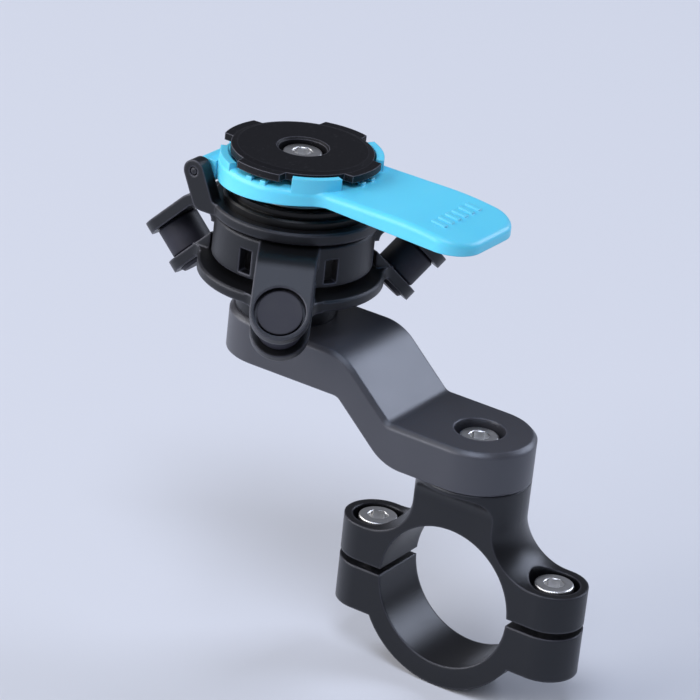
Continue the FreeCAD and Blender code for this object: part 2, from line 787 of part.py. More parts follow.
def make_head_base():
    """The hub: a stepped foot, a low cup around the spring and a post that carries the disc."""
    body = new_body("head_base", head_x)
    foot = s.hub_diameter / 2
    cup = s.cup_diameter / 2
    cup_top = step_top + s.cup_height
    post = s.post_diameter / 2
    pocket_radius = s.disc_boss / 2 + s.slide_gap
    pocket_floor = disc_low - s.disc_boss_depth
    profile = new_sketch(body, "XZ_Plane")
    outline(profile, (
        (hole_radius, flange_top), (foot, flange_top), (foot, step_top - s.edge_break),
        (foot - s.edge_break, step_top), (cup, step_top), (cup, cup_top), (cup - s.cup_wall, cup_top),
        (cup - s.cup_wall, groove_floor), (post, groove_floor), (post, disc_low),
        (pocket_radius, disc_low), (pocket_radius, pocket_floor), (hole_radius, pocket_floor),
    ))
    revolve(profile)
    return body


def make_lever_spring():
    """The coil spring that lifts the lever back."""
    body = new_body("lever_spring", head_x)
    wire = s.spring_wire / 2
    room = lever_ceiling - groove_floor
    section = new_sketch(body, "XZ_Plane")
    ring(section, wire, s.spring_diameter / 2, groove_floor + wire)
    coil = body.newObject("PartDesign::AdditiveHelix", "lever_spring_coil")
    coil.Profile = (section, [""])
    coil.ReferenceAxis = (section, ["V_Axis"])
    coil.Mode = "height-turns-angle"
    coil.Turns = SPRING_TURNS
    coil.Height = (room - s.spring_wire).value
    bind(coil, "Height", room - s.spring_wire)
    return body


def make_release_lever():
    """The thumb lever: a ring around the post, a drooping tab in front and a hinge barrel behind."""
    body = new_body("release_lever", head_x)
    rim = s.lever_ring / 2
    half = s.tab_width / 2
    reach = rim + s.tab_neck
    neck_x = root(reach * reach - (half + s.tab_neck) * (half + s.tab_neck))
    share = rim / reach
    touch_x, touch_y = neck_x * share, (half + s.tab_neck) * share
    tab_end = s.tab_length
    corner = s.tab_corner
    rear_low = lever_top - s.lever_rear_depth
    plan = new_sketch(body, "XY_Plane", (0.0, 0.0, rear_low))
    outline(plan, (
        (touch_x, -touch_y), (neck_x, -half), (tab_end - corner, -half), (tab_end, corner - half),
        (tab_end, half - corner), (tab_end - corner, half), (neck_x, half), (touch_x, touch_y),
        (0.0, rim), (-rim, 0.0), (0.0, -rim),
    ), {
        0: (-1, s.tab_neck), 2: (1, corner), 4: (1, corner), 6: (-1, s.tab_neck),
        7: (1, rim), 8: (1, rim), 9: (1, rim), 10: (1, rim),
    })
    pad(plan, s.lever_rear_depth)

    def droop(x):
        """Level of the top at a place along the tab."""
        if x.value <= s.droop_start.value:
            return lever_top
        run = x - s.droop_start
        return lever_top - s.droop_radius + root(s.droop_radius * s.droop_radius - run * run)

    over = new_sketch(body, "XZ_Plane")
    past = tab_end + SPARE
    outline(over, (
        (s.droop_start, lever_top), (past, droop(past)), (past, lever_top + SPARE),
        (s.droop_start, lever_top + SPARE),
    ), {0: (-1, s.droop_radius)})
    pocket(over, LONG_CUT, side="Symmetric")
    under = new_sketch(body, "XZ_Plane")
    root_low = lever_top - s.lever_root_depth
    end_low = lever_top - s.lever_end_depth
    outline(under, (
        (-rim, rear_low), (neck_x, root_low), (tab_end, end_low), (past, end_low),
        (past, rear_low - SPARE), (-rim, rear_low - SPARE),
    ))
    pocket(under, LONG_CUT, side="Symmetric")

    def upright(edge):
        ends = [(round(vertex.X, 3), round(vertex.Y, 3)) for vertex in edge.Vertexes]
        return len(ends) == 2 and ends[0] == ends[1]

    def crosswise(edge, x):
        return all(abs(vertex.X - x.value) < 1e-3 for vertex in edge.Vertexes)

    def middle_level(edge):
        return edge.valueAt((edge.FirstParameter + edge.LastParameter) / 2).z

    split = (lever_top + root_low).value / 2

    def on_top(edge):
        return middle_level(edge) > split and not upright(edge) and not crosswise(edge, s.droop_start)

    tongue = new_sketch(body, "XZ_Plane")
    tongue_top = hinge_level + s.barrel_radius
    barrel_low = hinge_level - s.barrel_radius
    tongue_root = -s.cup_diameter / 2
    outline(tongue, (
        (-s.hinge_reach, barrel_low), (tongue_root, barrel_low), (tongue_root, tongue_top),
        (-s.hinge_reach, tongue_top), (-s.hinge_reach - s.barrel_radius, hinge_level),
    ), {3: (1, s.barrel_radius), 4: (1, s.barrel_radius)})
    pad(tongue, s.hinge_width - 2 * s.hinge_gap, side="Symmetric")
    dress("Fillet", body, s.tab_rounding, on_top)
    bore = new_sketch(body, "XY_Plane", (0.0, 0.0, rear_low))
    ring(bore, s.post_diameter / 2 + s.lever_bore_gap)
    pocket(bore, LONG_CUT, side="Symmetric")
    skirt = new_sketch(body, "XY_Plane", (0.0, 0.0, lever_ceiling))
    ring(skirt, rim - s.skirt_wall)
    pocket(skirt, 2 * s.lever_rear_depth)
    pin = new_sketch(body, "XZ_Plane")
    ring(pin, (s.pin_diameter + s.pin_play) / 2, -s.hinge_reach, hinge_level)
    pocket(pin, LONG_CUT, side="Symmetric")
    cells = new_sketch(body, "XZ_Plane")
    cell_start = rim + s.tab_wall
    cell_pitch = (tab_end - cell_start) / TAB_CELLS
    for cell in range(TAB_CELLS):
        low = cell_start + cell_pitch * cell
        high = low + cell_pitch - s.tab_wall
        outline(cells, (
            (low, rear_low - SPARE), (high, rear_low - SPARE),
            (high, droop(high) - s.tab_skin), (low, droop(low) - s.tab_skin),
        ))
    pocket(cells, s.tab_width - 2 * s.tab_wall, side="Symmetric")
    heights = [(turn, s.front_block_height) for turn in FRONT_BLOCKS]
    heights += [(turn, s.rear_block_height) for turn in REAR_BLOCKS]
    for turn, height in heights:
        block = new_sketch(body, "XY_Plane", (0.0, 0.0, lever_top - s.tab_rounding), about_z(turn))
        sector(block, s.block_inner, s.block_outer, BLOCK_HALF, BLOCK_HALF)
        pad(block, height + s.tab_rounding)
    for turn in LOBE_TURNS:
        for way in (1, -1):
            x, y = on_circle((s.block_inner + s.block_outer) / 2, turn + way * RIB_TURN)
            rib = new_sketch(body, "XY_Plane", (x, y, lever_top - s.tab_rounding), about_z(turn))
            edge = s.rib_width / 2
            outline(rib, ((-edge, -edge), (edge, -edge), (edge, edge), (-edge, edge)))
            pad(rib, s.rib_height + s.tab_rounding)
    grip_end = s.grip_start + s.grip_length
    first = s.grip_pitch * ((GRIP_RIBS - 1) / 2) - s.grip_width / 2
    for number in range(GRIP_RIBS):
        grip = new_sketch(body, "XZ_Plane", (0.0, 0.0, first - s.grip_pitch * number))
        outline(grip, (
            (s.grip_start, droop(s.grip_start) - s.grip_height),
            (grip_end, droop(grip_end) - s.grip_height),
            (grip_end, droop(grip_end) + s.grip_height),
            (s.grip_start, droop(s.grip_start) + s.grip_height),
        ))
        pad(grip, s.grip_width)
    return body


def make_lock_disc():
    """The locking disc: a bevelled disc with four lobes and a recessed screw boss below."""
    body = new_body("lock_disc", head_x)
    rim = s.disc_diameter / 2
    recess = s.disc_counterbore / 2
    boss = s.disc_boss / 2
    boss_low = disc_low - s.disc_boss_depth
    profile = new_sketch(body, "XZ_Plane")
    outline(profile, (
        (hole_radius, boss_low), (boss, boss_low), (boss, disc_low), (rim, disc_low),
        (rim, disc_top - s.disc_slope), (s.disc_flat / 2, disc_top),
        (recess + s.disc_bevel, disc_top), (recess, disc_top - s.disc_bevel), (recess, screw_floor),
        (hole_radius, screw_floor),
    ))
    revolve(profile)
    for turn in LOBE_TURNS:
        lobe = new_sketch(body, "XY_Plane", (0.0, 0.0, disc_low), about_z(turn))
        sector(lobe, rim - s.disc_thickness, s.lobe_radius, LOBE_HALF_ROOT, LOBE_HALF_TIP)
        pad(lobe, s.disc_thickness - s.disc_slope)
    return body


arm_bolt_seat = arm_top - s.arm_bolt_recess - s.screw_head_height
base_bolt_seat = arm_under + s.base_bolt_recess + s.screw_head_height
clamp_bolt_seat = s.lug_top - s.screw_head_height
upside_down = Rotation(Vector(1, 0, 0), 180.0)

clamp_bolts = doc.addObject("Part::Compound", "clamp_bolts")
clamp_bolts.Label = "clamp_bolts"
clamp_bolts.Links = [
    make_screw("rear_clamp_bolt", s.clamp_bolt_length, s.lug_offset, clamp_bolt_seat),
    make_screw("front_clamp_bolt", s.clamp_bolt_length, -s.lug_offset, clamp_bolt_seat),
]

pieces = [
    make_upper_clamp(),
    make_lower_clamp(),
    clamp_bolts,
    make_arm(),
    make_screw("arm_bolt", s.arm_bolt_length, 0.0, arm_bolt_seat),
    make_damper_base(),
    make_screw("base_bolt", s.base_bolt_length, head_x, base_bolt_seat, upside_down),
    make_damper_top(),
    make_top_plate(),
    make_head_base(),
    make_hinge_pin(),
    make_lever_spring(),
    make_release_lever(),
    make_lock_disc(),
    make_screw("head_screw", s.head_screw_length, head_x, screw_floor),
]
pieces += [make_bushing(label, turn) for label, turn in BUSHINGS]

doc.recompute()
faults = [item.Name for item in doc.Objects if "Invalid" in item.State or "Error" in item.State]
faults += [piece.Label for piece in pieces if piece.Shape.isNull() or not piece.Shape.isValid()]
if faults:
    raise RuntimeError("failed: " + ", ".join(faults))

os.makedirs("parts", exist_ok=True)
for piece in pieces:
    piece.Shape.exportStep(f"parts/{piece.Label}.step")
    print(piece.Label, len(piece.Shape.Solids), "solid(s)", round(piece.Shape.Volume, 1), "mm3")
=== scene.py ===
# %% [markdown]
# # A bike phone mount, from clamp to lock head
# The solids come finished from the CAD frame, in metres: a split clamp, an S-shaped arm, a damper that
# floats on three rubber bushings, and a lock head with a blue thumb lever. A frame part whose shape is
# right stays as it is, so much of this lesson is about finishes: what each surface is made of, and how a
# few procedural nodes can say so. The screws, the bushings and the return spring are made anew.

# %% Load the frame
import json
import math

import bpy
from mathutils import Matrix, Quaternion, Vector

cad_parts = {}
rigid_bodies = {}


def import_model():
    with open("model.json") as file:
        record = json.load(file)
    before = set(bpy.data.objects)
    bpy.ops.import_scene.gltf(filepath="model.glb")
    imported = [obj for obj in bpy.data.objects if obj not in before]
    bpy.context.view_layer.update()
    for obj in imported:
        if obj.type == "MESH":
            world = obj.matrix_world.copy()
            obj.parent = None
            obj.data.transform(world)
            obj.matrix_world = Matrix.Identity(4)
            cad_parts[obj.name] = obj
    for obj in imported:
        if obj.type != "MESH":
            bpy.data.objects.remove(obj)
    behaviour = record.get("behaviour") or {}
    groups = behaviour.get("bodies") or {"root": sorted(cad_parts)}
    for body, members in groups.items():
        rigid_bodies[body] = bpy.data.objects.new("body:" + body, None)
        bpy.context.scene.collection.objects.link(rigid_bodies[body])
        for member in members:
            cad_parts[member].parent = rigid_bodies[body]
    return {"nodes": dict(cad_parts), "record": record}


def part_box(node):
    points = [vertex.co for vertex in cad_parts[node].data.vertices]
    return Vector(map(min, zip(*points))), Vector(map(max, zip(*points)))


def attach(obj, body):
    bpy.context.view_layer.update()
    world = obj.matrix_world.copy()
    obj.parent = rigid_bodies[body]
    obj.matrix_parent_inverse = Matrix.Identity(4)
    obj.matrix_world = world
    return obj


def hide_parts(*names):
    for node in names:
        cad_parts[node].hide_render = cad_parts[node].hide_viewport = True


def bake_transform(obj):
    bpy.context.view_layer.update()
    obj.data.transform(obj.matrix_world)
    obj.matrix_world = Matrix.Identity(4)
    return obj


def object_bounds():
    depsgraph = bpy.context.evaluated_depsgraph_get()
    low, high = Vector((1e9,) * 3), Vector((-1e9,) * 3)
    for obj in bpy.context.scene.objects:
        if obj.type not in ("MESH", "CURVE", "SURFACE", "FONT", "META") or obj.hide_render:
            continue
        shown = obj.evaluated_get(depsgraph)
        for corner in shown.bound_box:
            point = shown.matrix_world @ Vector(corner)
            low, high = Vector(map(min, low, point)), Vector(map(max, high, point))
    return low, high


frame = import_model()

MM = 1000.0


def in_mm(lengths):
    """Lengths in metres as rounded millimetres, for printing."""
    return [round(MM * length, 1) for length in lengths]


nodes = frame["nodes"]
cad_low, cad_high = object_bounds()
print("parts:", len(nodes), "size in mm:", in_mm(cad_high - cad_low))

# %% [markdown]
# ## Arithmetic on shader sockets
# A material is a graph of small nodes. Wiring each Math node by hand hides the idea behind the plumbing,
# so one class wraps an output socket and lets Python's own operators add the Math nodes. Every other
# node comes from a single method that takes its type, its settings and its inputs.

# %% A socket that takes part in arithmetic


class Wire:
    """An output socket of a material's node tree, or the bare tree when there is no socket yet."""

    def __init__(self, tree, socket=None):
        self.tree = tree
        self.socket = socket

    def node(self, kind, settings=None, inputs=None, output=0):
        """Adds a node, sets it up, feeds its inputs and returns one of its outputs."""
        made = self.tree.nodes.new("ShaderNode" + kind)
        for name, value in (settings or {}).items():
            setattr(made, name, value)
        for name, value in (inputs or {}).items():
            if isinstance(value, Wire):
                self.tree.links.new(value.socket, made.inputs[name])
            else:
                made.inputs[name].default_value = value
        return Wire(self.tree, made.outputs[output])

    def maths(self, operation, first, second):
        """Adds a Math node on two values."""
        return self.node("Math", {"operation": operation}, {0: first, 1: second})

    def __add__(self, other):
        return self.maths("ADD", self, other)

    def __radd__(self, other):
        return self.maths("ADD", other, self)

    def __sub__(self, other):
        return self.maths("SUBTRACT", self, other)

    def __rsub__(self, other):
        return self.maths("SUBTRACT", other, self)

    def __mul__(self, other):
        return self.maths("MULTIPLY", self, other)

    def __rmul__(self, other):
        return self.maths("MULTIPLY", other, self)

    def blend(self, first, second):
        """A colour between two, by this socket's value."""
        inputs = {0: self, 6: first, 7: second}
        return self.node("Mix", {"data_type": "RGBA"}, inputs, output=2)


print("a wire can add, subtract, multiply and blend")

# %% [markdown]
# ## Helpers for finishes
# Every finish here is one Principled shader. What is the same all over a surface is set on its sockets,
# and what varies comes from noise in the object's own coordinates, so a pattern stays on its part. Sharp
# CAD edges catch no light, so a Bevel node rounds their shading, and the angle between its normal and the
# true one tells where an edge is near.

# %% Material helpers
BEVEL_SAMPLES = 6
EDGE_GAIN = 4.0


def new_material(name, **constants):
    """A Principled material with its constant sockets set, and the wire that starts its graph."""
    material = bpy.data.materials.new(name)
    material.use_nodes = True
    shader = material.node_tree.nodes["Principled BSDF"]
    for socket, value in constants.items():
        shader.inputs[socket.replace("_", " ")].default_value = value
    return material, shader, Wire(material.node_tree)


def feed(shader, **wires):
    """Links the wires that vary over the surface to the shader's sockets."""
    for socket, wire in wires.items():
        wire.tree.links.new(wire.socket, shader.inputs[socket.replace("_", " ")])


def grey(level, blue=1.0):
    """A grey as a colour, a little cooler where blue is over 1."""
    return (level, level, level * blue, 1.0)


def noise(wire, place, size, detail, roughness=0.5):
    """Noise whose blobs measure about size metres."""
    inputs = {"Vector": place, "Scale": 1.0 / size, "Detail": detail, "Roughness": roughness}
    return wire.node("TexNoise", None, inputs)


def round_over(wire, radius):
    """The normal with sharp edges rounded over."""
    return wire.node("Bevel", {"samples": BEVEL_SAMPLES}, {"Radius": radius})


def edge_mask(wire, rounded, gain=EDGE_GAIN):
    """High where the rounded normal leaves the true one, which is near an edge."""
    inputs = {0: rounded, 1: wire.node("NewGeometry", output="Normal")}
    facing = wire.node("VectorMath", {"operation": "DOT_PRODUCT"}, inputs, "Value")
    return (1.0 - facing) * gain


def bump(wire, height, distance, strength, normal):
    """A normal that leans with a height, which spans distance metres."""
    inputs = {"Height": height, "Distance": distance, "Strength": strength, "Normal": normal}
    return wire.node("Bump", None, inputs)


print("material helpers ready, bevel samples:", BEVEL_SAMPLES)

# %% [markdown]
# ## Black anodised aluminium
# The clamp, the arm and the damper frames are machined, blasted with fine beads and then anodised black.
# The blasting leaves a grain of about a fifth of a millimetre that breaks up reflections into a satin
# sheen, and the dye is a little uneven over centimetres. One function makes all three finishes: two sizes
# of noise for grain and dye, and the edge mask for pale lines painted along the edges, partly wear where
# handling has polished them and partly a painted highlight.

# %% Anodised finishes
SHEEN_TINT = (0.88, 0.92, 1.0, 1.0)
DYE_PATCH = 0.018
DYE_SPREAD = 0.22
DYE_BLUE = 1.2
# Pale edge tone: partly wear, partly a painted highlight along the edges.
WEAR_AND_HIGHLIGHT_GREY = 0.12
WEAR_AND_HIGHLIGHT_BLUE = 1.25
METAL_EDGE = 0.0008
BLAST_RELIEF = 0.35


def anodised(name, level, grain, roughness, wear_and_highlight, sheen):
    """Blasted, dyed aluminium with edges painted pale, partly as wear and partly as a painted highlight.
    level is its grey and grain its blast size; the argument after roughness sets how pale the edges are.
    """
    material, shader, wire = new_material(name, Specular_IOR_Level=sheen, Specular_Tint=SHEEN_TINT)
    place = wire.node("TexCoord", output="Object")
    dye = noise(wire, place, size=DYE_PATCH, detail=3.0)
    blast = noise(wire, place, size=grain, detail=3.0, roughness=0.7)
    rounded = round_over(wire, radius=METAL_EDGE)
    # Pale edges are painted here: partly wear from handling, partly a painted highlight along the edges.
    worn_and_lit_edge = edge_mask(wire, rounded) * (0.35 + dye)
    deep = grey(level * (1.0 - DYE_SPREAD), DYE_BLUE)
    faded = grey(level * (1.0 + DYE_SPREAD), DYE_BLUE)
    bare_and_lit_tone = grey(WEAR_AND_HIGHLIGHT_GREY + level * 2.0, WEAR_AND_HIGHLIGHT_BLUE)
    tone = (0.7 * dye + 0.3 * blast).blend(deep, faded)
    feed(
        shader,
        Base_Color=(worn_and_lit_edge * wear_and_highlight).blend(tone, bare_and_lit_tone),
        Roughness=roughness - 0.10 + 0.12 * dye + 0.10 * blast,
        Normal=bump(wire, blast, distance=grain * BLAST_RELIEF, strength=0.32, normal=rounded),
    )
    return material


clamp_metal = anodised("anodised_clamp", level=0.006, grain=0.00022, roughness=0.31, wear_and_highlight=0.40, sheen=0.46)
arm_metal = anodised("anodised_arm", level=0.041, grain=0.00020, roughness=0.36, wear_and_highlight=0.40, sheen=0.85)
frame_metal = anodised("anodised_frame", level=0.005, grain=0.00018, roughness=0.38, wear_and_highlight=0.80, sheen=0.42)
print("anodised finishes:", clamp_metal.name, arm_metal.name, frame_metal.name)

# %% [markdown]
# ## Stainless screws and spring wire
# The tool that finished a screw left fine rings round it, and light runs along them. A pattern round each
# screw's own axis would need a separate graph for each screw. But all the screws stand upright, so noise
# that is squeezed along the upright axis gives every one of them its rings, and one steel serves them all.

# %% Steel finishes
RING_SQUEEZE = (1.0, 1.0, 9.0)
RING_SIZE = 0.0009
RING_DEPTH = 0.00004
RING_DARK = 0.85
RING_PALE = 1.12
STEEL_EDGE = 0.0003


def steel(name, level, roughness):
    """Bright steel with fine rings."""
    material, shader, wire = new_material(name, Metallic=1.0)
    place = wire.node("TexCoord", output="Object")
    squeezed = wire.node("Mapping", None, {"Vector": place, "Scale": RING_SQUEEZE})
    rings = noise(wire, squeezed, size=RING_SIZE, detail=4.0, roughness=0.6)
    rounded = round_over(wire, radius=STEEL_EDGE)
    feed(
        shader,
        Base_Color=rings.blend(grey(level * RING_DARK), grey(level * RING_PALE)),
        Roughness=roughness - 0.08 + 0.16 * rings,
        Normal=bump(wire, rings, distance=RING_DEPTH, strength=0.25, normal=rounded),
    )
    return material


screw_steel = steel("stainless_screw", level=0.82, roughness=0.32)
spring_steel = steel("spring_wire", level=0.45, roughness=0.34)
print("steel finishes:", screw_steel.name, spring_steel.name)

# %% [markdown]
# ## Rubber bushings
# The first of three more blacks, told apart by how they take light. The bushings are smooth moulded
# rubber. A dull grey bloom drifts over it in patches of a few millimetres, where it is also rougher.

# %% Black rubber
BLOOM_SIZE = 0.004
RUBBER_GRAIN = 0.00025
RUBBER_RELIEF = 0.00005
RUBBER_EDGE = 0.0004
RUBBER_CLEAN = grey(0.013, 1.5)
RUBBER_DULL = grey(0.032, 1.5)


def rubber():
    """Moulded black rubber with a faint grey bloom."""
    material, shader, wire = new_material("black_rubber", Specular_IOR_Level=0.35)
    place = wire.node("TexCoord", output="Object")
    bloom = noise(wire, place, size=BLOOM_SIZE, detail=4.0)
    skin = noise(wire, place, size=RUBBER_GRAIN, detail=2.0)
    rounded = round_over(wire, radius=RUBBER_EDGE)
    feed(
        shader,
        Base_Color=bloom.blend(RUBBER_CLEAN, RUBBER_DULL),
        Roughness=0.42 + 0.20 * bloom,
        Normal=bump(wire, skin, distance=RUBBER_RELIEF, strength=0.3, normal=rounded),
    )
    return material


bushing_rubber = rubber()
print("rubber:", bushing_rubber.name)

# %% [markdown]
# ## The glossy hub
# The hub is a glossy moulding, nearly pure black. Its form is seen by reflections alone, so its skin has
# no bump. The gloss is a little uneven instead, as on plastic that flowed into a polished mould.

# %% Glossy black plastic
HUB_FLOW = 0.006
HUB_EDGE = 0.0002
HUB_DEEP = grey(0.002)
HUB_PALE = grey(0.004, 1.2)


def gloss_black():
    """Glossy black moulded plastic."""
    material, shader, wire = new_material("gloss_black", Specular_IOR_Level=0.22, Coat_Roughness=0.08)
    place = wire.node("TexCoord", output="Object")
    flow = noise(wire, place, size=HUB_FLOW, detail=3.0)
    feed(
        shader,
        Base_Color=flow.blend(HUB_DEEP, HUB_PALE),
        Roughness=0.24 + 0.14 * flow,
        Coat_Weight=0.02 + 0.06 * flow,
        Normal=round_over(wire, radius=HUB_EDGE),
    )
    return material


hub_plastic = gloss_black()
print("gloss:", hub_plastic.name)

# %% [markdown]
# ## The lock disc
# The disc is a glass-filled plastic, whose fibres show as fine pale specks in a matte skin. Voronoi cells
# give a speck at the middle of each cell, and noise leaves some of them out. The disc's rims are painted
# pale, partly as scuffs and partly as a painted highlight along them, and they are small, so the mask for
# them is turned up.

# %% Filled black plastic
FIBRE_CELL = 0.0007
FIBRE_PICK = 0.0006
FIBRE_NONE = 0.62
FIBRE_FULL = 0.42
DISC_GRAIN = 0.0003
DISC_RELIEF = 0.00006
DISC_EDGE = 0.0003
DISC_EDGE_GAIN = 30.0
DISC_TONE = grey(0.005, 1.4)
FIBRE_TONE = grey(0.10, 1.1)
# Pale rim tone: partly scuffs, partly a painted highlight.
SCUFF_AND_HIGHLIGHT_TONE = grey(0.12, 1.2)


def filled_black():
    """Matte black plastic with fine pale fibre specks."""
    material, shader, wire = new_material("filled_black", Specular_IOR_Level=0.2)
    place = wire.node("TexCoord", output="Object")
    cells = wire.node("TexVoronoi", None, {"Vector": place, "Scale": 1.0 / FIBRE_CELL}, "Distance")
    pick = noise(wire, place, size=FIBRE_PICK, detail=1.0)
    away = cells + 0.9 * (1.0 - pick)
    speck = wire.node("MapRange", None, {"Value": away, 1: FIBRE_NONE, 2: FIBRE_FULL}, "Result")
    texture = noise(wire, place, size=DISC_GRAIN, detail=3.0)
    rounded = round_over(wire, radius=DISC_EDGE)
    # The rims are painted pale here, partly as scuffs and partly as a painted highlight along them.
    scuff_and_rim_highlight = edge_mask(wire, rounded, gain=DISC_EDGE_GAIN)
    skin = (0.30 * speck).blend(DISC_TONE, FIBRE_TONE)
    feed(
        shader,
        Base_Color=(0.5 * scuff_and_rim_highlight).blend(skin, SCUFF_AND_HIGHLIGHT_TONE),
        Roughness=0.42 + 0.18 * texture,
        Normal=bump(wire, texture, distance=DISC_RELIEF, strength=0.35, normal=rounded),
    )
    return material


disc_plastic = filled_black()
print("filled:", disc_plastic.name)

# %% [markdown]
# ## The blue lever
# A semi-gloss moulding in clear sky blue. Real mouldings are never one flat value: the pigment drifts a
# little along the flow, the skin has a fine texture, and thin edges look paler because light passes
# through them, which the edge mask and a little subsurface scattering give.

# %% Blue plastic
LEVER_FLOW = 0.012
LEVER_GRAIN = 0.00035
LEVER_RELIEF = 0.00003
LEVER_EDGE = 0.0004
BLUE_DEEP = (0.112, 0.68, 0.95, 1.0)
BLUE_CLEAR = (0.142, 0.74, 0.99, 1.0)
BLUE_EDGE = (0.30, 0.80, 1.0, 1.0)


def blue_plastic():
    """Sky-blue semi-gloss moulded plastic."""
    material, shader, wire = new_material(
        "blue_plastic", Subsurface_Weight=0.12, Subsurface_Scale=0.002, Coat_Roughness=0.2)
    place = wire.node("TexCoord", output="Object")
    flow = noise(wire, place, size=LEVER_FLOW, detail=3.0)
    skin = noise(wire, place, size=LEVER_GRAIN, detail=2.0)
    rounded = round_over(wire, radius=LEVER_EDGE)
    thin = edge_mask(wire, rounded)
    feed(
        shader,
        Base_Color=(0.25 * thin).blend(flow.blend(BLUE_DEEP, BLUE_CLEAR), BLUE_EDGE),
        Roughness=0.30 + 0.10 * flow + 0.05 * skin,
        Coat_Weight=0.10 + 0.10 * flow,
        Normal=bump(wire, skin, distance=LEVER_RELIEF, strength=0.25, normal=rounded),
    )
    return material


lever_plastic = blue_plastic()
print("blue:", lever_plastic.name)

# %% [markdown]
# ## Working by hand, in code
# An operator acts on whatever is selected, just as a click in the window does. So what is about to change
# is always selected first, by its name or by its place. These helpers are the few moves that the new
# pieces need: copy, cut, pick corners or edges, and carry a profile round an axis.

# %% Modelling helpers


def select(*pieces):
    """Selects these objects alone and makes the first of them active."""
    bpy.ops.object.select_all(action="DESELECT")
    for piece in pieces:
        piece.select_set(True)
    bpy.context.view_layer.objects.active = pieces[0]


def copy_of(piece):
    """A copy of an object, with a mesh of its own."""
    select(piece)
    bpy.ops.object.duplicate()
    return bpy.context.object


def apply_place():
    """Moves the selected objects' places into their meshes."""
    bpy.ops.object.transform_apply(location=True, rotation=True, scale=True)


def cut(piece, tool):
    """Takes one mesh object out of another and deletes the tool."""
    modifier = piece.modifiers.new("cut", "BOOLEAN")
    modifier.operation = "DIFFERENCE"
    modifier.object = tool
    bpy.context.view_layer.objects.active = piece
    bpy.ops.object.modifier_apply(modifier=modifier.name)
    bpy.data.objects.remove(tool, do_unlink=True)


def choose(piece, kind, test):
    """Opens a mesh for editing with only the edges or corners selected that pass a test."""
    bpy.context.view_layer.objects.active = piece
    bpy.ops.object.mode_set(mode="EDIT")
    bpy.ops.mesh.select_mode(type=kind)
    bpy.ops.mesh.select_all(action="DESELECT")
    bpy.ops.object.mode_set(mode="OBJECT")
    corners = piece.data.vertices
    if kind == "EDGE":
        for edge in piece.data.edges:
            edge.select = all(test(corners[end].co) for end in edge.vertices)
    else:
        for corner in corners:
            corner.select = test(corner.co)
    bpy.ops.object.mode_set(mode="EDIT")


def sweep(profile, rise, turns, steps):
    """Carries a closed profile round and up the upright axis, and closes both ends."""
    twist = profile.modifiers.new("twist", "SCREW")
    twist.axis = "Z"
    twist.angle = math.tau
    twist.screw_offset = rise
    twist.iterations = turns
    twist.steps = steps
    twist.render_steps = steps
    bpy.context.view_layer.objects.active = profile
    bpy.ops.object.modifier_apply(modifier=twist.name)
    choose(profile, "VERT", lambda place: True)
    bpy.ops.mesh.fill_holes(sides=0)
    bpy.ops.object.mode_set(mode="OBJECT")


print("modelling helpers ready")

# %% [markdown]
# ## The head of a socket screw
# The frame gives each screw its true size as a plain cylinder with a hexagon hole. A real one is forged:
# the head's side is knurled for grip, its rim is bevelled, and the socket has a small countersink. All
# five screws have the same head, so it is modelled once, with its seat at the origin, and copied later.

# %% Screw head
HEAD_RADIUS = 0.00425
HEAD_HEIGHT = 0.0050
HEAD_BEVEL = 0.0004
BEVEL_STEPS = 3
RIM_SHARE = 0.9
KNURL_DEPTH = 0.00012
KNURL_TEETH = 48
SOCKET_ACROSS = 0.0040
SOCKET_DEPTH = 0.0026
COUNTERSINK = 0.0022
ROUND_SIDES = 48
NEAR = 1e-5


def on_rim(place):
    """Whether a corner lies on the outer edge of the head's top."""
    return place.z > HEAD_HEIGHT - NEAR and place.xy.length > RIM_SHARE * HEAD_RADIUS


def on_groove(place):
    """Whether a corner lies on every second line of the head's side."""
    step = round(math.atan2(place.y, place.x) * KNURL_TEETH / math.pi)
    return place.xy.length > RIM_SHARE * HEAD_RADIUS and step % 2 == 0


def screw_head():
    """The knurled head with its socket, seat at the origin and top up."""
    top = (0.0, 0.0, HEAD_HEIGHT)
    bpy.ops.object.select_all(action="DESELECT")
    bpy.ops.mesh.primitive_cylinder_add(
        vertices=2 * KNURL_TEETH, radius=HEAD_RADIUS, depth=HEAD_HEIGHT, location=(0.0, 0.0, HEAD_HEIGHT / 2))
    head = bpy.context.object
    apply_place()
    corner_radius = SOCKET_ACROSS / math.sqrt(3.0)
    bpy.ops.mesh.primitive_cylinder_add(
        vertices=6, radius=corner_radius, depth=2.0 * SOCKET_DEPTH, location=top)
    cut(head, bpy.context.object)
    bpy.ops.mesh.primitive_cone_add(
        vertices=ROUND_SIDES, radius1=0.0, radius2=2.0 * COUNTERSINK, depth=2.0 * COUNTERSINK, location=top)
    cut(head, bpy.context.object)
    choose(head, "VERT", on_groove)
    shrink = 1.0 - KNURL_DEPTH / HEAD_RADIUS
    bpy.ops.transform.resize(value=(shrink, shrink, 1.0), center_override=(0.0, 0.0, 0.0))
    bpy.ops.object.mode_set(mode="OBJECT")
    choose(head, "EDGE", on_rim)
    bpy.ops.mesh.bevel(offset=HEAD_BEVEL, segments=BEVEL_STEPS)
    bpy.ops.object.mode_set(mode="OBJECT")
    return head


head_pattern = screw_head()
print("screw head:", len(head_pattern.data.polygons), "faces,", KNURL_TEETH, "teeth")

# %% [markdown]
# ## Threads
# A thread is one triangle carried round and up at once, which is what the Screw modifier does. It runs
# along a core of the root diameter and stops a little short of the end, where the bare core leads in.
# The shanks differ in length, so each is wound to the length that the frame gives.

# %% Threaded shank
SHANK_RADIUS = 0.0025
THREAD_PITCH = 0.0008
THREAD_DEPTH = 0.00045
THREAD_STEPS = 32
THREAD_FOOT = 0.97
BARE_TURNS = 2


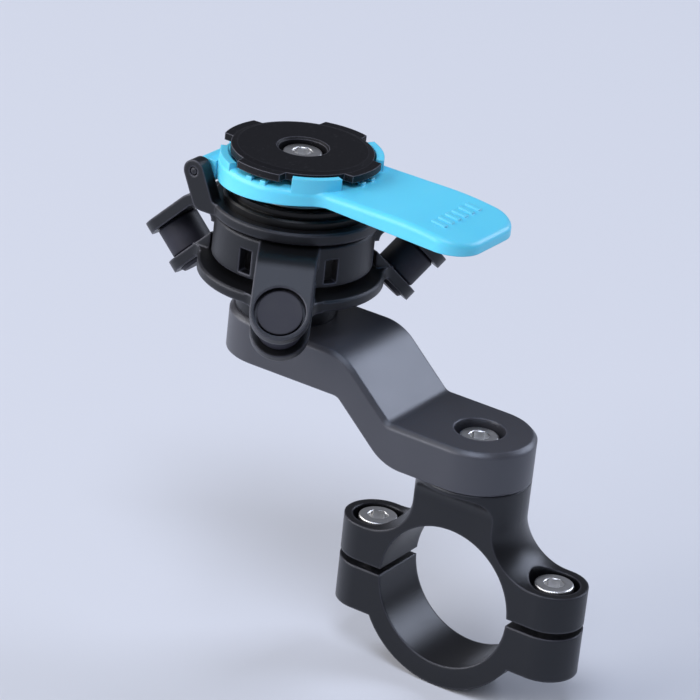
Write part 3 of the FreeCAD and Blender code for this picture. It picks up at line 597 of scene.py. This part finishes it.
def screw_shank(length):
    """A threaded shank that hangs down from the origin."""
    core = SHANK_RADIUS - THREAD_DEPTH
    bpy.ops.mesh.primitive_cylinder_add(
        vertices=ROUND_SIDES, radius=core, depth=length, location=(0.0, 0.0, -length / 2))
    shank = bpy.context.object
    apply_place()
    half_pitch = THREAD_PITCH / 2
    bpy.ops.mesh.primitive_circle_add(vertices=3, radius=half_pitch, fill_type="NOTHING")
    thread = bpy.context.object
    start = -length + THREAD_PITCH
    foot = core * THREAD_FOOT
    places = ((foot, start - half_pitch), (SHANK_RADIUS, start), (foot, start + half_pitch))
    for corner, (radius, level) in zip(thread.data.vertices, places):
        corner.co = (radius, 0.0, level)
    sweep(thread, rise=THREAD_PITCH, turns=int(length / THREAD_PITCH) - BARE_TURNS, steps=THREAD_STEPS)
    select(shank, thread)
    bpy.ops.object.join()
    return shank


print("thread pitch and depth in mm:", round(MM * THREAD_PITCH, 2), round(MM * THREAD_DEPTH, 2))

# %% [markdown]
# ## Whole screws
# Head and shank are joined, the screw is copied to every place where the frame has one, and turned over
# where the frame's screw hangs upside down. Then its place is applied to the mesh, and it stands for the
# frame's plain cylinder.

# %% Put the screws in
CREASE = math.radians(32.0)


def whole_screw(name, node, places, upside_down=False):
    """One piece that stands for a frame node: a screw at each place of the upright axis."""
    low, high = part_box(node)
    length = high.z - low.z - HEAD_HEIGHT
    seat = low.z + HEAD_HEIGHT if upside_down else high.z - HEAD_HEIGHT
    piece = copy_of(head_pattern)
    select(piece, screw_shank(length))
    bpy.ops.object.join()
    screws = [piece] + [copy_of(piece) for extra in places[1:]]
    for screw, (x, y) in zip(screws, places):
        screw.rotation_euler.x = math.pi if upside_down else 0.0
        screw.location = (x, y, seat)
    select(*screws)
    apply_place()
    if len(screws) > 1:
        bpy.ops.object.join()
    piece.name = name
    bpy.ops.object.mode_set(mode="EDIT")
    bpy.ops.mesh.select_all(action="SELECT")
    bpy.ops.mesh.normals_make_consistent(inside=False)
    bpy.ops.object.mode_set(mode="OBJECT")
    bpy.ops.object.shade_smooth_by_angle(angle=CREASE)
    piece.data.materials.clear()
    piece.data.materials.append(screw_steel)
    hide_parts(node)
    print(name, len(piece.data.polygons), "faces,", round(MM * length, 1), "mm shank")
    return piece


def middle(node):
    """x and y of the middle of a frame node."""
    low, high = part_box(node)
    return (low.x + high.x) / 2, (low.y + high.y) / 2


clamp_low, clamp_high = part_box("clamp_bolts")
clamp_places = [(clamp_low.x + HEAD_RADIUS, 0.0), (clamp_high.x - HEAD_RADIUS, 0.0)]
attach(whole_screw("clamp_screws", "clamp_bolts", clamp_places), "clamp")
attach(whole_screw("arm_screw", "arm_bolt", [middle("arm_bolt")]), "clamp")
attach(whole_screw("base_screw", "base_bolt", [middle("base_bolt")], upside_down=True), "damper_foot")
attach(whole_screw("lock_screw", "head_screw", [middle("head_screw")]), "damper_head")
bpy.data.objects.remove(head_pattern, do_unlink=True)

# %% [markdown]
# ## Dressing the frame
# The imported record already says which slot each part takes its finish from, so the finishes go on by
# slot name and no part can be forgotten. The hinge pin alone differs: it is blackened together with the
# ears, so its ends hardly show.

# %% Put the finishes on
finishes = {
    "clamp_metal": clamp_metal, "arm_metal": arm_metal, "frame_metal": frame_metal,
    "screw_steel": screw_steel, "spring_steel": spring_steel, "bushing_rubber": bushing_rubber,
    "hub_plastic": hub_plastic, "disc_plastic": disc_plastic, "lever_plastic": lever_plastic,
}
for entry in frame["record"]["subparts"]:
    part = nodes[entry["node"]]
    part.data.materials.clear()
    part.data.materials.append(finishes[entry["material_slot"]])
nodes["hinge_pin"].data.materials[0] = frame_metal

# %% [markdown]
# ## The bushings
# Each rubber bushing is gripped by the lower frame at one end and by the upper frame at the other, so it
# shears when the damper moves, and a rigid piece would stay behind. The bushings' shape is right, so each
# is copied from the frame and welded into a closed skin.

# %% Bushings
WELD = 1e-6
hub_low, hub_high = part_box("head_base")
hub_middle = (hub_low + hub_high) / 2


def soft_copy(name, node):
    """A welded copy of a frame node, standing for that node."""
    piece = copy_of(nodes[node])
    bpy.ops.object.parent_clear(type="CLEAR_KEEP_TRANSFORM")
    piece.name = name
    for tag in list(piece.keys()):
        del piece[tag]
    bpy.ops.mesh.customdata_custom_splitnormals_clear()
    bpy.ops.object.mode_set(mode="EDIT")
    bpy.ops.mesh.select_all(action="SELECT")
    bpy.ops.mesh.remove_doubles(threshold=WELD)
    bpy.ops.mesh.normals_make_consistent(inside=False)
    bpy.ops.object.mode_set(mode="OBJECT")
    bpy.ops.object.shade_smooth_by_angle(angle=CREASE)
    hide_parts(node)
    print(name, len(piece.data.vertices), "corners")
    return piece


def soft_bushing(side):
    """A welded copy of one bushing, with its place baked into its mesh."""
    rubber_piece = soft_copy(side + "_bushing", "bushing_" + side)
    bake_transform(rubber_piece)


for side in ("front", "left", "right"):
    soft_bushing(side)

# %% [markdown]
# ## The return spring
# The spring stands on the hub and the lever leans on its top coil, so a rigid one would be cut through
# when the lever is pressed. A round wire is carried up three turns, as the thread was.

# %% Return spring
SPRING_WIRE = 0.0008
SPRING_TURNS = 3
SPRING_SIDES = 16
SPRING_STEPS = 64
SPRING_CREASE = math.radians(50.0)


def return_spring():
    """The coil under the lever, a round wire carried up a few turns."""
    low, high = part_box("lever_spring")
    wire_radius = SPRING_WIRE / 2
    coil_radius = (high.x - low.x) / 2 - wire_radius
    bpy.ops.object.select_all(action="DESELECT")
    bpy.ops.mesh.primitive_circle_add(
        vertices=SPRING_SIDES, radius=wire_radius, fill_type="NOTHING",
        location=(coil_radius, 0.0, low.z + wire_radius), rotation=(math.pi / 2, 0.0, 0.0))
    piece = bpy.context.object
    piece.name = "return_spring"
    apply_place()
    rise = (high.z - low.z - SPRING_WIRE) / SPRING_TURNS
    sweep(piece, rise=rise, turns=SPRING_TURNS, steps=SPRING_STEPS)
    piece.location = (hub_middle.x, hub_middle.y, 0.0)
    apply_place()
    bpy.ops.object.shade_smooth_by_angle(angle=SPRING_CREASE)
    piece.data.materials.append(spring_steel)
    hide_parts("lever_spring")
    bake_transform(piece)
    print(piece.name, len(piece.data.vertices), "corners,", SPRING_TURNS, "turns")


return_spring()

# %% [markdown]
# ## Floor and fill light
# A plain pale floor with a cool tint, seen by the camera as the whole backdrop. It lies a hair below the
# object, so the two don't flicker where they touch. The world adds an even fill, so black parts keep
# their form.

# %% Floor and world
FLOOR_SIZE = 12.0
FLOOR_DROP = 0.0002
FLOOR_TONE = (0.69, 0.71, 0.76, 1.0)
WORLD_TONE = (0.80, 0.83, 0.95, 1.0)
WORLD_STRENGTH = 0.18

bpy.ops.object.select_all(action="DESELECT")
bpy.ops.mesh.primitive_plane_add(size=FLOOR_SIZE, location=(0.0, 0.0, cad_low.z - FLOOR_DROP))
floor = bpy.context.object
floor.name = "floor"
apply_place()
floor_paint = new_material("floor_paint", Base_Color=FLOOR_TONE, Roughness=0.9, Specular_IOR_Level=0.1)[0]
floor.data.materials.append(floor_paint)

world = bpy.data.worlds.new("studio")
bpy.context.scene.world = world
world.use_nodes = True
sky = world.node_tree.nodes["Background"]
sky.inputs["Color"].default_value = WORLD_TONE
sky.inputs["Strength"].default_value = WORLD_STRENGTH
print("floor at", round(MM * (cad_low.z - FLOOR_DROP), 1), "mm, world strength", WORLD_STRENGTH)

# %% [markdown]
# ## Soft lights
# A wide soft light from the front left shows the near faces, a second one from behind on the right draws
# the sheen on the slopes, and one overhead draws the pale lines along the upper edges. They stand well
# back, so the floor is lit evenly all round the object.

# %% Lights
PLAIN_LAMP = (1.0, 0.98, 0.98)
COOL_LAMP = (0.78, 0.84, 1.0)
centre = (cad_low + cad_high) / 2


def soft_light(name, towards, distance, width, height, power, tone):
    """A soft light in a direction from the object's middle, turned to face it."""
    lamp = bpy.data.lights.new(name, "AREA")
    lamp.shape = "RECTANGLE"
    lamp.size = width
    lamp.size_y = height
    lamp.energy = power
    lamp.color = tone
    stand = bpy.data.objects.new(name, lamp)
    bpy.context.scene.collection.objects.link(stand)
    way = Vector(towards).normalized()
    stand.location = centre + way * distance
    stand.rotation_euler = (-way).to_track_quat("-Z", "Y").to_euler()
    print(name, power, "W at", [round(side, 2) for side in stand.location])


soft_light(
    "front_left", towards=(-0.70, -0.60, 0.39), distance=2.7,
    width=3.4, height=2.0, power=86.0, tone=PLAIN_LAMP)
soft_light(
    "back_right", towards=(0.36, 0.78, 0.51), distance=2.7,
    width=1.5, height=1.5, power=37.0, tone=COOL_LAMP)
soft_light(
    "overhead", towards=(0.14, -0.38, 0.91), distance=3.0,
    width=1.35, height=1.35, power=37.0, tone=COOL_LAMP)

# %% [markdown]
# ## Camera
# The camera stands where the photograph was taken from: 31 degrees round from the front, 24 degrees up,
# with a long lens and the frame rolled a little to the left. The lens is written as it was fitted to the
# photograph, in pixels of its frame, and turned into millimetres here.

# %% Camera
VIEW_AZIMUTH = math.radians(31.23)
VIEW_ELEVATION = math.radians(24.06)
VIEW_ROLL = math.radians(6.29)
VIEW_TARGET = Vector((-0.03377, 0.0, 0.0440))
VIEW_DISTANCE = 0.850
FOCAL_PIXELS = 4001.44
FRAME_PIXELS = 700
SENSOR = 36.0
CLIP_NEAR = 0.01
CLIP_FAR = 50.0

lens = bpy.data.cameras.new("camera")
lens.sensor_fit = "HORIZONTAL"
lens.sensor_width = SENSOR
lens.lens = SENSOR * FOCAL_PIXELS / FRAME_PIXELS
lens.clip_start = CLIP_NEAR
lens.clip_end = CLIP_FAR
camera = bpy.data.objects.new("camera", lens)
bpy.context.scene.collection.objects.link(camera)
level_out = math.cos(VIEW_ELEVATION)
back = Vector((
    math.sin(VIEW_AZIMUTH) * level_out, -math.cos(VIEW_AZIMUTH) * level_out, math.sin(VIEW_ELEVATION)))
camera.location = VIEW_TARGET + back * VIEW_DISTANCE
camera.rotation_mode = "QUATERNION"
camera.rotation_quaternion = (-back).to_track_quat("-Z", "Y") @ Quaternion((0.0, 0.0, 1.0), VIEW_ROLL)
bpy.context.scene.camera = camera
bpy.context.scene.view_settings.view_transform = "Standard"
print("camera", round(lens.lens, 1), "mm lens at", [round(side, 3) for side in camera.location])
